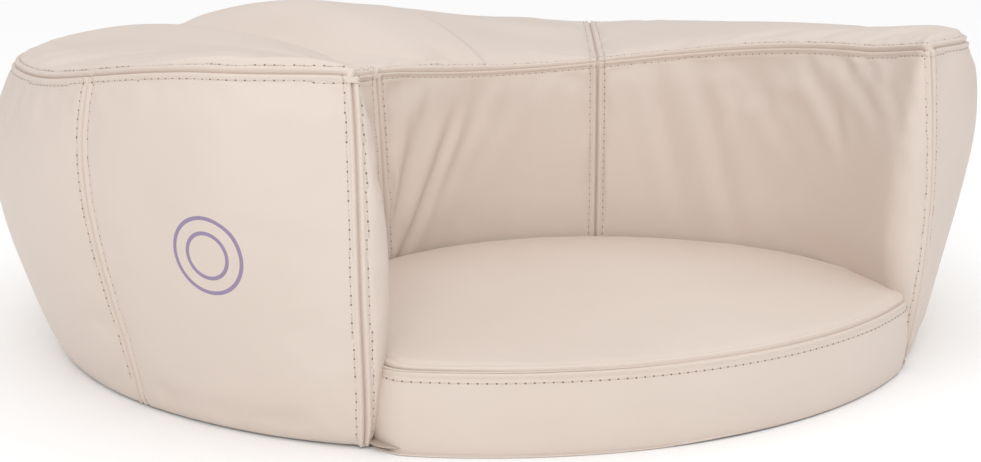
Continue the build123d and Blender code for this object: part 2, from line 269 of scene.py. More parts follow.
def rim_way(outside):
    """Which way a top seam faces: half up, half off the wall."""

    def way(p):
        flat = Vector((p.x, p.y, 0)) if outside else Vector((-p.x, HOLLOW_Y - p.y, 0))
        return (flat.normalized() + Vector((0, 0, 1))).normalized()

    return way


# ---------------------------------------------------------------- sewing
def seam_profile(d):
    """How far leather lies off the smooth surface at distance d from a folded, topstitched seam."""
    crease = -2.6 * math.exp(-((d / (1.0 * MM)) ** 2))
    ridge = 0.75 * math.exp(-(((d - 2.8 * MM) / (1.4 * MM)) ** 2))
    row = -0.9 * math.exp(-(((d - TOPSTITCH) / (1.1 * MM)) ** 2))
    return (crease + ridge + row) * MM


def hem_profile(d):
    """How far leather turns down at distance d from a hem."""
    return -0.6 * MM * math.exp(-((d / (1.4 * MM)) ** 2))


def pucker(p, d):
    """Short ripples that the topstitching gathers along a seam."""
    ripple = noise.noise(p * 95) + 0.6 * noise.noise(p * 210 + Vector((3, 1, 7)))
    return 0.5 * MM * ripple * math.exp(-(((d - 8 * MM) / (9 * MM)) ** 2))


def lie(p):
    """Slow unevenness of padding under leather."""
    return 1.2 * MM * noise.noise(p * 10) + 0.4 * MM * noise.noise(p * 25 + Vector((5, 2, 9)))


def lines(start, end, pitch, length, dense_start=True, dense_end=True, also=()):
    """Grid stations from start to end, closer together beside a seam."""
    steps = (0, 0.8, 1.7, 2.7, 3.7, 4.7, 5.6, 6.6, 8.0, 10.0, 13.0)
    low = [x * MM / length for x in steps] if dense_start else [0.0]
    high = [1 - x * MM / length for x in steps] if dense_end else [1.0]
    count = max(2, round((high[-1] - low[-1]) * length / pitch))
    shares = sorted({*low, *high, *(mix(low[-1], high[-1], i / count) for i in range(count + 1))})
    kept = [x for i, x in enumerate(shares) if i == 0 or x - shares[i - 1] > 0.2 * MM / length]
    values = [mix(start, end, x) for x in kept]
    for x in also:
        values[min(range(len(values)), key=lambda i: abs(values[i] - x))] = x
    return values


def near(points):
    """Distance to the closest of some points."""
    if not points:
        return lambda p: 1.0
    tree = KDTree(len(points))
    for i, p in enumerate(points):
        tree.insert(p, i)
    tree.balance()
    return lambda p: tree.find(p)[2]


def laid_grid(us, vs, place):
    """A grid laid over a shape, and the column and row of each of its points."""
    bm = bmesh.new()
    nu, nv = len(us) - 1, len(vs) - 1
    bmesh.ops.create_grid(bm, x_segments=nu, y_segments=nv, size=1)
    where = {}
    for v in bm.verts:
        where[v] = round((v.co.x + 1) / 2 * nu), round((v.co.y + 1) / 2 * nv)
    for v, (i, j) in where.items():
        v.co = place(us[i], vs[j])
    return bm, where


def cut_window(bm, where, us, vs, window):
    """Opens the leather over a zip."""
    u0, u1, v0, v1 = window
    inside = []
    for f in bm.faces:
        u = sum(us[where[v][0]] for v in f.verts) / len(f.verts)
        w = sum(vs[where[v][1]] for v in f.verts) / len(f.verts)
        if u0 < u < u1 and v0 < w < v1:
            inside.append(f)
    bmesh.ops.delete(bm, geom=inside, context="FACES")


def piece_from(bm, name, material, body, nodes):
    """Makes the finished piece of a mesh, and hides the parts that it stands for."""
    mesh = bpy.data.meshes.new(name)
    bm.to_mesh(mesh)
    bm.free()
    obj = bpy.data.objects.new(name, mesh)
    bpy.context.scene.collection.objects.link(obj)
    mesh.materials.append(material)
    mesh.shade_smooth()
    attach(obj, body)
    if nodes:
        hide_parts(*nodes)
    return obj


def panel_edges(where, nu, nv, seams):
    """Points on a panel's sewn sides, points on its other edges, and points along each side by name."""
    sewn, hems, edges_of = [], [], {}
    for v, (i, j) in where.items():
        if not v.is_valid:
            continue
        named = (("u", j == nv), ("d", j == 0), ("l", i == 0), ("r", i == nu))
        for side, here in named:
            if here:
                edges_of.setdefault(side, []).append(v.co.copy())
        if any(here and side in seams for side, here in named):
            sewn.append(v.co.copy())
        elif v.is_boundary:
            hems.append(v.co.copy())
    return sewn, hems, edges_of


def settled_moves(bm, to_seam, to_hem, corners, swell, folds):
    """How each point of a panel moves as the leather settles, and which way the leather faces there."""
    moved = {}
    for v in bm.verts:
        d, e = to_seam(v.co), to_hem(v.co)
        way = v.normal.copy()
        for reach, rim in corners:
            way = way.lerp(rim(v.co), 1 - smooth(0.2 * MM, 4.5 * MM, reach(v.co)))
        way.normalize()
        h = seam_profile(d) + hem_profile(e) + pucker(v.co, d)
        h += lie(v.co) * smooth(0, 14 * MM, min(d, e))
        for fold in folds:
            h += fold(v.co) * mix(0.3, 1, smooth(0, 9 * MM, d))
        move = way * h
        if swell:
            move += swell(v.co) * smooth(0, 10 * MM, min(d, e))
        moved[v] = (move, way)
    return moved


def turn_edges_under(bm, ways_now):
    """Folds a panel's open edges down, first a little and then well under."""
    rim = [e for e in bm.edges if e.is_boundary]
    for depth in (0.8 * MM, 3.5 * MM):
        made = bmesh.ops.extrude_edge_only(bm, edges=rim)["geom"]
        rim = [g for g in made if isinstance(g, bmesh.types.BMEdge) and g.is_boundary]
        fresh = [g for g in made if isinstance(g, bmesh.types.BMVert)]
        for v in fresh:
            mates = [e.other_vert(v) for e in v.link_edges if e.other_vert(v) in ways_now]
            ways_now[v] = ways_now[mates[0]] if mates else v.normal.copy()
        for v in fresh:
            v.co -= ways_now[v] * depth


def leather_panel(name, us, vs, place, body, nodes, material, seams,
                  ways=None, window=None, flip=False, swell=None, folds=()):
    """A leather panel: laid on the padding, creased along its seams, its edges folded under."""
    bm, where = laid_grid(us, vs, place)
    if window:
        cut_window(bm, where, us, vs, window)
    if flip:
        bmesh.ops.reverse_faces(bm, faces=bm.faces[:])
    bm.normal_update()
    sewn, hems, edges_of = panel_edges(where, len(us) - 1, len(vs) - 1, seams)
    corners = [(near(edges_of[side]), way) for side, way in (ways or {}).items()]
    moved = settled_moves(bm, near(sewn), near(hems), corners, swell, folds)
    for v, (move, _) in moved.items():
        v.co += move
    bmesh.ops.remove_doubles(bm, verts=bm.verts[:], dist=0.05 * MM)
    turn_edges_under(bm, {v: way for v, (_, way) in moved.items() if v.is_valid})
    obj = piece_from(bm, name, material, body, nodes)
    thick = obj.modifiers.new("leather thickness", "SOLIDIFY")
    thick.thickness = LEATHER
    thick.offset = -1
    finer = obj.modifiers.new("finer", "SUBSURF")
    finer.levels = finer.render_levels = 1
    return obj


def surface_of(obj):
    """A piece's surface, to find the closest point on."""
    points = [v.co.copy() for v in obj.data.vertices]
    return BVHTree.FromPolygons(points, [p.vertices[:] for p in obj.data.polygons])


def stitch_row(points, surface, made):
    """Places along a row, pulled down onto the leather: a stitch, then a needle hole, and so on."""
    rest = STITCH_PITCH / 2
    hole = False
    for a, b in zip(points, points[1:]):
        step = (b - a).length
        while step > 0 and rest <= step:
            p, along = a.lerp(b, rest / step), (b - a).normalized()
            hit, normal, _, _ = surface.find_nearest(p)
            across = normal.cross(along).normalized()
            along = across.cross(normal).normalized()
            turned = Matrix((along, across, normal)).transposed().to_4x4()
            made[hole].append(Matrix.Translation(hit + normal * 0.05 * MM) @ turned)
            rest += STITCH_PITCH / 2
            hole = not hole
        rest -= step


def row_point(place, edge, far, other, along_u, gap):
    """The point at distance gap inside an edge, found by walking in from it."""
    p, walked, share = None, 0.0, 0.0
    while walked < gap and share < 0.5:
        where = mix(edge, far, share)
        q = place(other, where) if along_u else place(where, other)
        walked += (q - p).length if p else 0.0
        p, share = q, share + 0.0025
    return p


def topstitch(obj, place, u0, u1, v0, v1, sides, made, gap=TOPSTITCH):
    """Topstitch rows a few millimetres inside the named sides of a panel."""
    surface = surface_of(obj)
    inset = {"u": (v1, v0, u0, u1), "d": (v0, v1, u0, u1), "r": (u1, u0, v0, v1), "l": (u0, u1, v0, v1)}
    for side in sides:
        edge, far, first, last = inset[side]
        row = [row_point(place, edge, far, mix(first, last, i / 240), side in "ud", gap) for i in range(241)]
        stitch_row(row, surface, made)


def repeated_piece(name, places, size, body, material):
    """One small rounded shape set in many places: stitches, or dark beads of painted shade in the needle holes
    between them.
    """
    bead = bmesh.new()
    bmesh.ops.create_uvsphere(bead, u_segments=6, v_segments=5, radius=1)
    bmesh.ops.rotate(bead, verts=bead.verts[:], matrix=Matrix.Rotation(math.pi / 2, 3, "Y"))
    bmesh.ops.scale(bead, verts=bead.verts[:], vec=size)
    shape = bpy.data.meshes.new("one")
    bead.to_mesh(shape)
    bead.free()
    bm = bmesh.new()
    for place in places:
        first = len(bm.verts)
        bm.from_mesh(shape)
        bm.verts.ensure_lookup_table()
        bmesh.ops.transform(bm, verts=bm.verts[first:], matrix=place)
    bpy.data.meshes.remove(shape)
    return piece_from(bm, name, material, body, ())


def sewing_pieces(body, made):
    """The visible thread of one body's rows, and dark beads of painted shade in the needle holes it goes down."""
    repeated_piece(body + "_topstitch_thread", made[0], STITCH_SIZE, body, thread_finish)
    repeated_piece(body + "_needle_hole_shadows", made[1], NEEDLE_HOLE_SIZE, body, needle_hole_shadow_finish)


# ---------------------------------------------------------------- finishes
def new_material(name):
    """A new material, with its nodes, its links and its shader."""
    mat = bpy.data.materials.new(name)
    mat.use_nodes = True
    return mat, mat.node_tree.nodes, mat.node_tree.links, mat.node_tree.nodes["Principled BSDF"]


def noise_texture(nodes, links, coords, scale, detail=3.0):
    """Noise laid over the object."""
    tex = nodes.new("ShaderNodeTexNoise")
    tex.inputs["Scale"].default_value = scale
    tex.inputs["Detail"].default_value = detail
    links.new(coords.outputs["Object"], tex.inputs["Vector"])
    return tex


def two_tones(nodes, links, factor, dark, light):
    """A colour between a dark and a light tone."""
    ramp = nodes.new("ShaderNodeValToRGB")
    low, high = ramp.color_ramp.elements
    low.position = 0.35
    low.color = (*dark, 1)
    high.position = 0.65
    high.color = (*light, 1)
    links.new(factor, ramp.inputs["Fac"])
    return ramp.outputs["Color"]


def maths(nodes, links, operation, a, b):
    """The result of a sum or a comparison of two numbers or sockets."""
    node = nodes.new("ShaderNodeMath")
    node.operation = operation
    for socket, value in zip(node.inputs, (a, b)):
        if isinstance(value, (int, float)):
            socket.default_value = value
        else:
            links.new(value, socket)
    return node.outputs["Value"]


def bumped(nodes, links, shader, height, strength, depth):
    """Gives a shader an uneven surface."""
    bump = nodes.new("ShaderNodeBump")
    bump.inputs["Strength"].default_value = strength
    bump.inputs["Distance"].default_value = depth
    links.new(height, bump.inputs["Height"])
    links.new(bump.outputs["Normal"], shader.inputs["Normal"])


def faux_leather(name, dark, light, mark=None):
    """Smooth coated leather: satin, a fine pebble with small pores, slow changes of tone."""
    mat, nodes, links, shader = new_material(name)
    coords = nodes.new("ShaderNodeTexCoord")
    slow = noise_texture(nodes, links, coords, 7.0).outputs["Fac"]
    colour = two_tones(nodes, links, slow, dark, light)
    pebble = nodes.new("ShaderNodeTexVoronoi")
    pebble.feature = "SMOOTH_F1"
    pebble.inputs["Scale"].default_value = 1050
    links.new(coords.outputs["Object"], pebble.inputs["Vector"])
    pores = noise_texture(nodes, links, coords, 380.0, 4.0).outputs["Fac"]
    height = maths(nodes, links, "ADD", pebble.outputs["Distance"], pores)
    bumped(nodes, links, shader, height, 0.14, 0.0002)
    gloss = nodes.new("ShaderNodeMapRange")
    gloss.inputs["To Min"].default_value = 0.46
    gloss.inputs["To Max"].default_value = 0.58
    links.new(slow, gloss.inputs["Value"])
    links.new(gloss.outputs["Result"], shader.inputs["Roughness"])
    shader.inputs["Specular IOR Level"].default_value = 0.38
    shader.inputs["Sheen Weight"].default_value = 0.06
    shader.inputs["Sheen Roughness"].default_value = 0.4
    if mark:
        colour = mark(nodes, links, coords, colour)
    links.new(colour, shader.inputs["Base Color"])
    return mat


def printed_rings(nodes, links, coords, ground):
    """A plain printed mark: thin rings round one point of the front left panel."""
    away = coords.outputs["Object"]
    for operation, value in (("SUBTRACT", MARK_CENTRE), ("CROSS_PRODUCT", MARK_FACING), ("LENGTH", None)):
        step = nodes.new("ShaderNodeVectorMath")
        step.operation = operation
        links.new(away, step.inputs[0])
        if value:
            step.inputs[1].default_value = value
        away = step.outputs[0]
    reach = step.outputs["Value"]
    wave = maths(nodes, links, "PINGPONG", reach, RING_PITCH)
    line = maths(nodes, links, "GREATER_THAN", wave, RING_START)
    within = maths(nodes, links, "LESS_THAN", reach, MARK_RADIUS)
    clear = maths(nodes, links, "GREATER_THAN", reach, MARK_HOLE)
    ink = maths(nodes, links, "MULTIPLY", maths(nodes, links, "MULTIPLY", line, within), clear)
    printed = nodes.new("ShaderNodeMix")
    printed.data_type = "RGBA"
    printed.inputs["B"].default_value = (*RING_INK, 1)
    links.new(ink, printed.inputs["Factor"])
    links.new(ground, printed.inputs["A"])
    return printed.outputs["Result"]


def plain_finish(name, colour, roughness, scale=300.0, depth=0.0002, strength=0.3, metallic=0.0):
    """A simple finish with a fine uneven surface."""
    mat, nodes, links, shader = new_material(name)
    coords = nodes.new("ShaderNodeTexCoord")
    grain = noise_texture(nodes, links, coords, scale, 4.0).outputs["Fac"]
    dark = tuple(c * 0.84 for c in colour)
    links.new(two_tones(nodes, links, grain, dark, colour), shader.inputs["Base Color"])
    bumped(nodes, links, shader, grain, strength, depth)
    shader.inputs["Roughness"].default_value = roughness
    shader.inputs["Metallic"].default_value = metallic
    return mat


# where the printed mark faces, and its middle
MARK_FACING = Vector((-0.785, -0.618, 0.02)).normalized()
MARK_CENTRE = Vector((-0.3055, -0.2405, 0.128))
# the printed rings: radius of the whole mark and of its clear middle, spacing, where a line starts, and ink
MARK_RADIUS = 0.0315
MARK_HOLE = 0.008
RING_PITCH = 0.005
RING_START = 0.0037
RING_INK = (0.30, 0.23, 0.36)
BEIGE_LIGHT = (0.70, 0.602, 0.535)
BEIGE_DARK = (0.678, 0.578, 0.51)
leather_finish = faux_leather("beige faux leather", BEIGE_DARK, BEIGE_LIGHT)
marked_leather = faux_leather("beige faux leather with printed rings", BEIGE_DARK, BEIGE_LIGHT, printed_rings)
thread_finish = plain_finish("beige topstitch thread", (0.68, 0.58, 0.505), 0.7, 2500, 0.0001)
# painted shade: the needle holes' dark colour stands for the shadow inside each hole
needle_hole_shadow_finish = plain_finish("shadow in the needle holes", (0.27, 0.2, 0.155), 0.9, 900, 0.0001)
foam_finish = plain_finish("open cell foam", (0.86, 0.82, 0.68), 0.95, 700, 0.0006, 0.6)
wadding_finish = plain_finish("white fibre wadding", (0.9, 0.9, 0.88), 1.0, 260, 0.001, 0.5)
sheet_finish = plain_finish("non-slip base sheet", (0.24, 0.2, 0.165), 0.85, 1100, 0.0004, 0.6)
lining_finish = plain_finish("seat lining cloth", (0.52, 0.44, 0.37), 0.9, 1400, 0.0003, 0.5)
tape_finish = plain_finish("zip tape", (0.6, 0.51, 0.44), 0.85, 1800, 0.0002, 0.5)
teeth_finish = plain_finish("zip teeth", (0.52, 0.43, 0.36), 0.5, 1500, 0.0003, 0.5)
metal_finish = plain_finish("nickel plate", (0.62, 0.6, 0.57), 0.32, 900, 0.00005, 0.2, 1.0)
loop_finish = plain_finish("hook and loop tape", (0.62, 0.53, 0.45), 1.0, 1600, 0.0005, 0.8)
finish_of_slot = {
    "cover_leather": leather_finish,
    "foam": foam_finish,
    "wadding": wadding_finish,
    "non_slip_sheet": sheet_finish,
    "lining": lining_finish,
    "zip_tape": tape_finish,
    "zip_teeth": teeth_finish,
    "zip_metal": metal_finish,
    "hook_and_loop": loop_finish,
}
for part in frame["record"]["subparts"]:
    cad_node = frame["nodes"][part["node"]]
    cad_node.data.materials.clear()
    cad_node.data.materials.append(finish_of_slot[part["material_slot"]])


# ---------------------------------------------------------------- folds in the hollow's leather
# radius at which the hollow's leather is unrolled to lay out its folds
FOLD_RADIUS = 0.232


def hollow_fold(start, end, width, depth):
    """A fold from start to end, each a station and a height: a valley with a soft ridge on either side."""
    unroll = math.radians(FOLD_RADIUS)
    x0, z0, x1, z1 = start[0] * unroll, start[1] * MM, end[0] * unroll, end[1] * MM
    run = math.hypot(x1 - x0, z1 - z0)
    dx, dz = (x1 - x0) / run, (z1 - z0) / run

    def depth_at(p):
        station = math.degrees(math.atan2(p.x, p.y - HOLLOW_Y))
        x, z = station * unroll - x0, p.z - z0
        t = (x * dx + z * dz) / run
        if t < -0.3 or t > 1.3:
            return 0.0
        bend = 0.6 * width * math.sin(2.4 * t + start[1])
        s = (x * dz - z * dx + bend) / width
        if abs(s) > 5:
            return 0.0
        fade = smooth(-0.3, 0.25, t) * (1 - smooth(0.6, 1.3, t))
        valley = -0.8 * math.exp(-s * s)
        ridge = 0.75 * math.exp(-((s - 1.8) ** 2) / 1.4) + 0.4 * math.exp(-((s + 2.0) ** 2) / 2.2)
        return fade * depth * (valley + ridge)

    return depth_at


# from low beside the left cross seam, round to the right arm
hollow_folds = [
    hollow_fold((-10.5, 165), (-23.0, 60), 5.0 * MM, 8.0 * MM),
    hollow_fold((-20.0, 172), (-25.2, 80), 5.0 * MM, 5.0 * MM),
    hollow_fold((-2.5, 172), (-14.5, 90), 7.0 * MM, 2.6 * MM),
    hollow_fold((-15.5, 196), (-21.5, 125), 5.0 * MM, 3.2 * MM),
    hollow_fold((4.0, 190), (-6.0, 110), 8.0 * MM, 1.6 * MM),
    hollow_fold((38.0, 200), (42.5, 80), 8.0 * MM, 2.1 * MM),
    hollow_fold((45.5, 196), (57.0, 66), 8.5 * MM, 2.4 * MM),
    hollow_fold((70.0, 220), (83.0, 160), 7.0 * MM, 3.0 * MM),
    hollow_fold((79.0, 226), (94.0, 185), 6.0 * MM, 3.2 * MM),
    hollow_fold((86.0, 230), (99.0, 203), 4.5 * MM, 2.2 * MM),
    hollow_fold((59.0, 212), (68.0, 145), 8.0 * MM, 1.5 * MM),
]


# ---------------------------------------------------------------- padding pushing the cover out
def wall_form(inset, fineness=1):
    """The whole wall as one closed form. Drawn in by an inset, it also stays above the base sheet."""
    stations = [-2 + i / (40 * fineness) for i in range(160 * fineness + 1)]
    heights_here = [i / (16 * fineness) for i in range(16 * fineness + 1)]
    widths = [i / (12 * fineness) for i in range(12 * fineness + 1)]
    bm = bmesh.new()

    def outside(g, v):
        return outer_point(top_stations(g)[1], v)

    def hollow(g, v):
        return inner_point(top_stations(g)[0], v)

    def under(g, w):
        return hollow(g, 0).lerp(outside(g, 0), w)

    sheets = (
        (outside, heights_here, True),
        (hollow, heights_here, False),
        (top_point, widths, True),
        (under, widths, False),
    )
    for place, rows, turned in sheets:
        sheet, _ = laid_grid(stations, rows, place)
        if turned:
            bmesh.ops.reverse_faces(sheet, faces=sheet.faces[:])
        mesh = bpy.data.meshes.new("sheet")
        sheet.to_mesh(mesh)
        sheet.free()
        bm.from_mesh(mesh)
        bpy.data.meshes.remove(mesh)
    bmesh.ops.remove_doubles(bm, verts=bm.verts[:], dist=0.3 * MM)
    bmesh.ops.recalc_face_normals(bm, faces=bm.faces[:])
    bm.normal_update()
    shift = {v: v.normal * inset for v in bm.verts}
    for v, step in shift.items():
        v.co -= step
        if inset:
            v.co.z = max(v.co.z, BASE_THICKNESS + 0.2 * MM)
    return bm


def seam_lines():
    """Points along every seam of the wall's cover, and round its foot."""
    points = []
    upright = (-OUTER_END, -SIDE_SEAM, -CROSS_OUTER, CROSS_OUTER, SIDE_SEAM, OUTER_END)
    for i in range(601):
        station = mix(-OUTER_END, OUTER_END, i / 600)
        points += [outer_point(station, 1), outer_point(station, 0)]
        station = mix(-INNER_END, INNER_END, i / 600)
        points += [inner_point(station, 1), inner_point(station, 0)]
    for i in range(61):
        points += [outer_point(x, i / 60) for x in upright]
        points += [inner_point(x, i / 60) for x in (-CROSS_INNER_LEFT, CROSS_INNER)]
        points += [top_point(x, i / 60) for x in (-1, 1)]
    return points


def cover_cloth(bm):
    """The wall's form as one evenly meshed cloth object."""
    mesh = bpy.data.meshes.new("cover cloth")
    bm.to_mesh(mesh)
    bm.free()
    obj = bpy.data.objects.new("cover cloth", mesh)
    bpy.context.scene.collection.objects.link(obj)
    even = obj.modifiers.new("even", "REMESH")
    even.mode = "VOXEL"
    even.voxel_size = CLOTH_VOXEL
    bpy.context.view_layer.objects.active = obj
    obj.select_set(True)
    bpy.ops.object.modifier_apply(modifier="even")
    return obj


def add_cloth(obj):
    """Cloth held along its sewn lines and pressed out from inside, with no weight."""
    cloth = obj.modifiers.new("cloth", "CLOTH")
    cloth.settings.quality = 5
    cloth.settings.mass = 0.2
    cloth.settings.tension_stiffness = 20
    cloth.settings.compression_stiffness = 20
    cloth.settings.shear_stiffness = 8
    cloth.settings.bending_stiffness = 0.3
    cloth.settings.use_pressure = True
    cloth.settings.uniform_pressure_force = CLOTH_PRESSURE
    cloth.settings.shrink_min = -CLOTH_SLACK
    cloth.settings.vertex_group_mass = "sewn"
    cloth.settings.effector_weights.gravity = 0


def capped_moves(obj, rest):
    """How far each point has settled from rest, no further than the cloth may go."""
    settled = obj.evaluated_get(bpy.context.evaluated_depsgraph_get()).to_mesh()
    moves = []
    for p, v in zip(rest, settled.vertices):
        move = v.co - p
        moves.append(move.normalized() * min(move.length, CLOTH_MOST) if move.length > 0 else move)
    return moves


def filled_out(bm, held):
    """Cloth simulation: the padding presses the cover out between its sewn lines.
    Returns a function that tells how the cover moves at a place."""
    obj = cover_cloth(bm)
    rest = [v.co.copy() for v in obj.data.vertices]
    to_seam = near(held)
    sewn = obj.vertex_groups.new(name="sewn")
    for i, p in enumerate(rest):
        sewn.add([i], 1 - smooth(5 * MM, 12 * MM, to_seam(p)), "REPLACE")
    add_cloth(obj)
    for frame_number in range(1, CLOTH_FRAMES + 1):
        bpy.context.scene.frame_set(frame_number)
    moves = capped_moves(obj, rest)
    tree = KDTree(len(rest))
    for i, p in enumerate(rest):
        tree.insert(p, i)
    tree.balance()
    bpy.data.objects.remove(obj)
    bpy.context.scene.frame_set(1)

    def move_at(p):
        total, weight = Vector(), 0.0
        for _, i, distance in tree.find_n(p, 4):
            share = 1 / (distance * distance + 1e-6)
            total += moves[i] * share
            weight += share
        return total / weight

    return move_at


wall_swell = None
wall_swell = filled_out(wall_form(0, 2), seam_lines())


def hollow_swell(p):
    """The hollow's cover swells above the cushion; beside it the cushion holds it back."""
    return wall_swell(p) * smooth(0.055, 0.095, p.z) if wall_swell else Vector()


# ---------------------------------------------------------------- the wall's cover
wall_stitches = ([], [])
heights = lines(0, 1, GRID, WALL_GIRTH, False, True)
zip_low = (COVER_ZIP_Z - ZIP_GAP - WALL_FOOT_Z) / (SIDE_RIM_Z - WALL_FOOT_Z)
zip_high = (COVER_ZIP_Z + ZIP_GAP - WALL_FOOT_Z) / (SIDE_RIM_Z - WALL_FOOT_Z)
# name, first and last station, length in metres, finish, and whether the zip is in it
outer_panels = (
    ("outer_left_front_panel", -OUTER_END, -SIDE_SEAM, 0.27, marked_leather, False),
    ("outer_left_side_panel", -SIDE_SEAM, -CROSS_OUTER, 0.45, leather_finish, False),
    ("outer_back_panel", -CROSS_OUTER, CROSS_OUTER, 0.55, leather_finish, True),
    ("outer_right_side_panel", CROSS_OUTER, SIDE_SEAM, 0.45, leather_finish, False),
    ("outer_right_front_panel", SIDE_SEAM, OUTER_END, 0.27, leather_finish, False),
)
for name, start, end, length, finish, zipped in outer_panels:
    us = lines(start, end, GRID, length)
    vs = heights
    window = None
    if zipped:
        us = lines(start, end, GRID, length, also=(-COVER_ZIP_HALF, COVER_ZIP_HALF))
        vs = lines(0, 1, GRID, WALL_GIRTH, False, True, also=(zip_low, zip_high))
        window = (-COVER_ZIP_HALF, COVER_ZIP_HALF, zip_low, zip_high)
    obj = leather_panel(name + "_leather", us, vs, outer_point, "wall", (name,), finish, "ulr",
                        {"u": rim_way(True)}, window, True, wall_swell)
    topstitch(obj, outer_point, start, end, 0, 1, "ulr", wall_stitches)

inner_panels = (
    ("inner_left_panel", -INNER_END, -CROSS_INNER_LEFT, 0.36),
    ("inner_back_panel", -CROSS_INNER_LEFT, CROSS_INNER, 0.21),
    ("inner_right_panel", CROSS_INNER, INNER_END, 0.36),
)
for name, start, end, length in inner_panels:
    us = lines(start, end, FINE_GRID, length)
    obj = leather_panel(name + "_leather", us, heights, inner_point, "wall", (name,), leather_finish, "ulr",
                        {"u": rim_way(False)}, None, False, hollow_swell, hollow_folds)
    topstitch(obj, inner_point, start, end, 0, 1, "ulr", wall_stitches)

across = lines(0, 1, TOP_GRID, TOP_GIRTH)
# the top's topstitch rows stop this far along each arm, just short of the tip
TOP_ROW_END = 1.965
top_panels = (
    ("top_left_panel", -2, -1, 0.52, "udr"),
    ("top_back_panel", -1, 1, 0.4, "udlr"),
    ("top_right_panel", 1, 2, 0.52, "udl"),
)
for name, start, end, length, sides in top_panels:
    us = lines(start, end, GRID, length)
    obj = leather_panel(name + "_leather", us, across, top_point, "wall", (name,), leather_finish, "udlr",
                        {"u": rim_way(True), "d": rim_way(False)}, None, False, wall_swell)
    first, last = max(start, -TOP_ROW_END), min(end, TOP_ROW_END)
    topstitch(obj, top_point, first, last, 0, 1, sides, wall_stitches)
sewing_pieces("wall", wall_stitches)


# ---------------------------------------------------------------- padding inside the wall
def cut_to_slice(bm, cuts):
    """Keeps the part of a form between upright cuts through the base's middle, and closes its cut faces."""
    for normal in cuts:
        geom = bm.verts[:] + bm.edges[:] + bm.faces[:]
        bmesh.ops.bisect_plane(bm, geom=geom, plane_co=(0, 0, 0), plane_no=normal,
                               clear_outer=True, dist=1e-6)
        rim = [e for e in bm.edges if e.is_boundary]
        bmesh.ops.contextual_create(bm, geom=rim)
    bmesh.ops.triangulate(bm, faces=[f for f in bm.faces if len(f.verts) > 4])
    bmesh.ops.recalc_face_normals(bm, faces=bm.faces[:])


def padding_piece(name, body, bm, nodes, finish):
    """A finished piece of padding."""
    obj = piece_from(bm, name, finish, body, nodes)
    return obj


def wedge(start, end):
    """The two cuts that keep a form between two bearings, in degrees from the rear.
    The bearings are under half a turn apart."""
    a, b = math.radians(start), math.radians(end)
    return (Vector((-math.cos(a), math.sin(a), 0)), Vector((math.cos(b), -math.sin(b), 0)))


core_pieces = (
    ("left_arm_front_core", -179.9, -72.0),
    ("left_arm_rear_core", -72.0, -25.0),
    ("back_core", -25.0, 25.0),
    ("right_arm_rear_core", 25.0, 72.0),
    ("right_arm_front_core", 72.0, 179.9),
)
core_form = wall_form(LEATHER + WADDING + CORE_GAP)
core_mesh = bpy.data.meshes.new("core form")
core_form.to_mesh(core_mesh)
core_form.free()
for name, start, end in core_pieces:
    bm = bmesh.new()
    bm.from_mesh(core_mesh)
    cut_to_slice(bm, wedge(start, end))
    padding_piece(name + "_foam", "wall", bm, (name,), foam_finish)
bpy.data.meshes.remove(core_mesh)


def wadding_sheet(name, g0, g1, nodes):
    """Fibre wadding wrapped over the hollow side, the top and the outside of a run of the wall."""
    stations = [mix(g0, g1, i / 60) for i in range(61)]
    rows = [i / 48 for i in range(49)]

    def place(g, q):
        """q runs from the hollow's foot (0), over the top, to the outer foot (1)."""
        inner_station, outer_station = top_stations(g)
        if q < 0.36:
            return inner_point(inner_station, q / 0.36)
        if q < 0.64:
            return top_point(g, (q - 0.36) / 0.28)
        return outer_point(outer_station, 1 - (q - 0.64) / 0.36)

    bm, _ = laid_grid(stations, rows, place)
    bmesh.ops.remove_doubles(bm, verts=bm.verts[:], dist=0.3 * MM)
    bm.normal_update()
    inward = {v: v.normal.copy() for v in bm.verts}
    for v, way in inward.items():
        in_hollow = (v.co.xy - Vector((0, HOLLOW_Y))).length < 0.24
        drawn = min(0.0, sum(fold(v.co) for fold in hollow_folds)) if in_hollow else 0.0
        v.co -= way * (LEATHER + WADDING_TUCK - drawn)
        v.co.z = max(v.co.z, BASE_THICKNESS + 0.3 * MM)
    obj = padding_piece(name, "wall", bm, nodes, wadding_finish)
    thick = obj.modifiers.new("wadding thickness", "SOLIDIFY")
    thick.thickness = WADDING - WADDING_TUCK
    thick.offset = -1
    return obj


wadding_sheet("left_arm_wadding_sheet", -1.97, -1.0, ("left_arm_wadding",))
wadding_sheet("back_wadding_sheet", -1.0, 1.0, ("back_wadding",))
wadding_sheet("right_arm_wadding_sheet", 1.0, 1.97, ("right_arm_wadding",))

# ---------------------------------------------------------------- the seat cushion
SEAT_MIDDLE = Vector((0, (HOLLOW_Y + SEAT_RADIUS - SEAT_FRONT) / 2, 0))


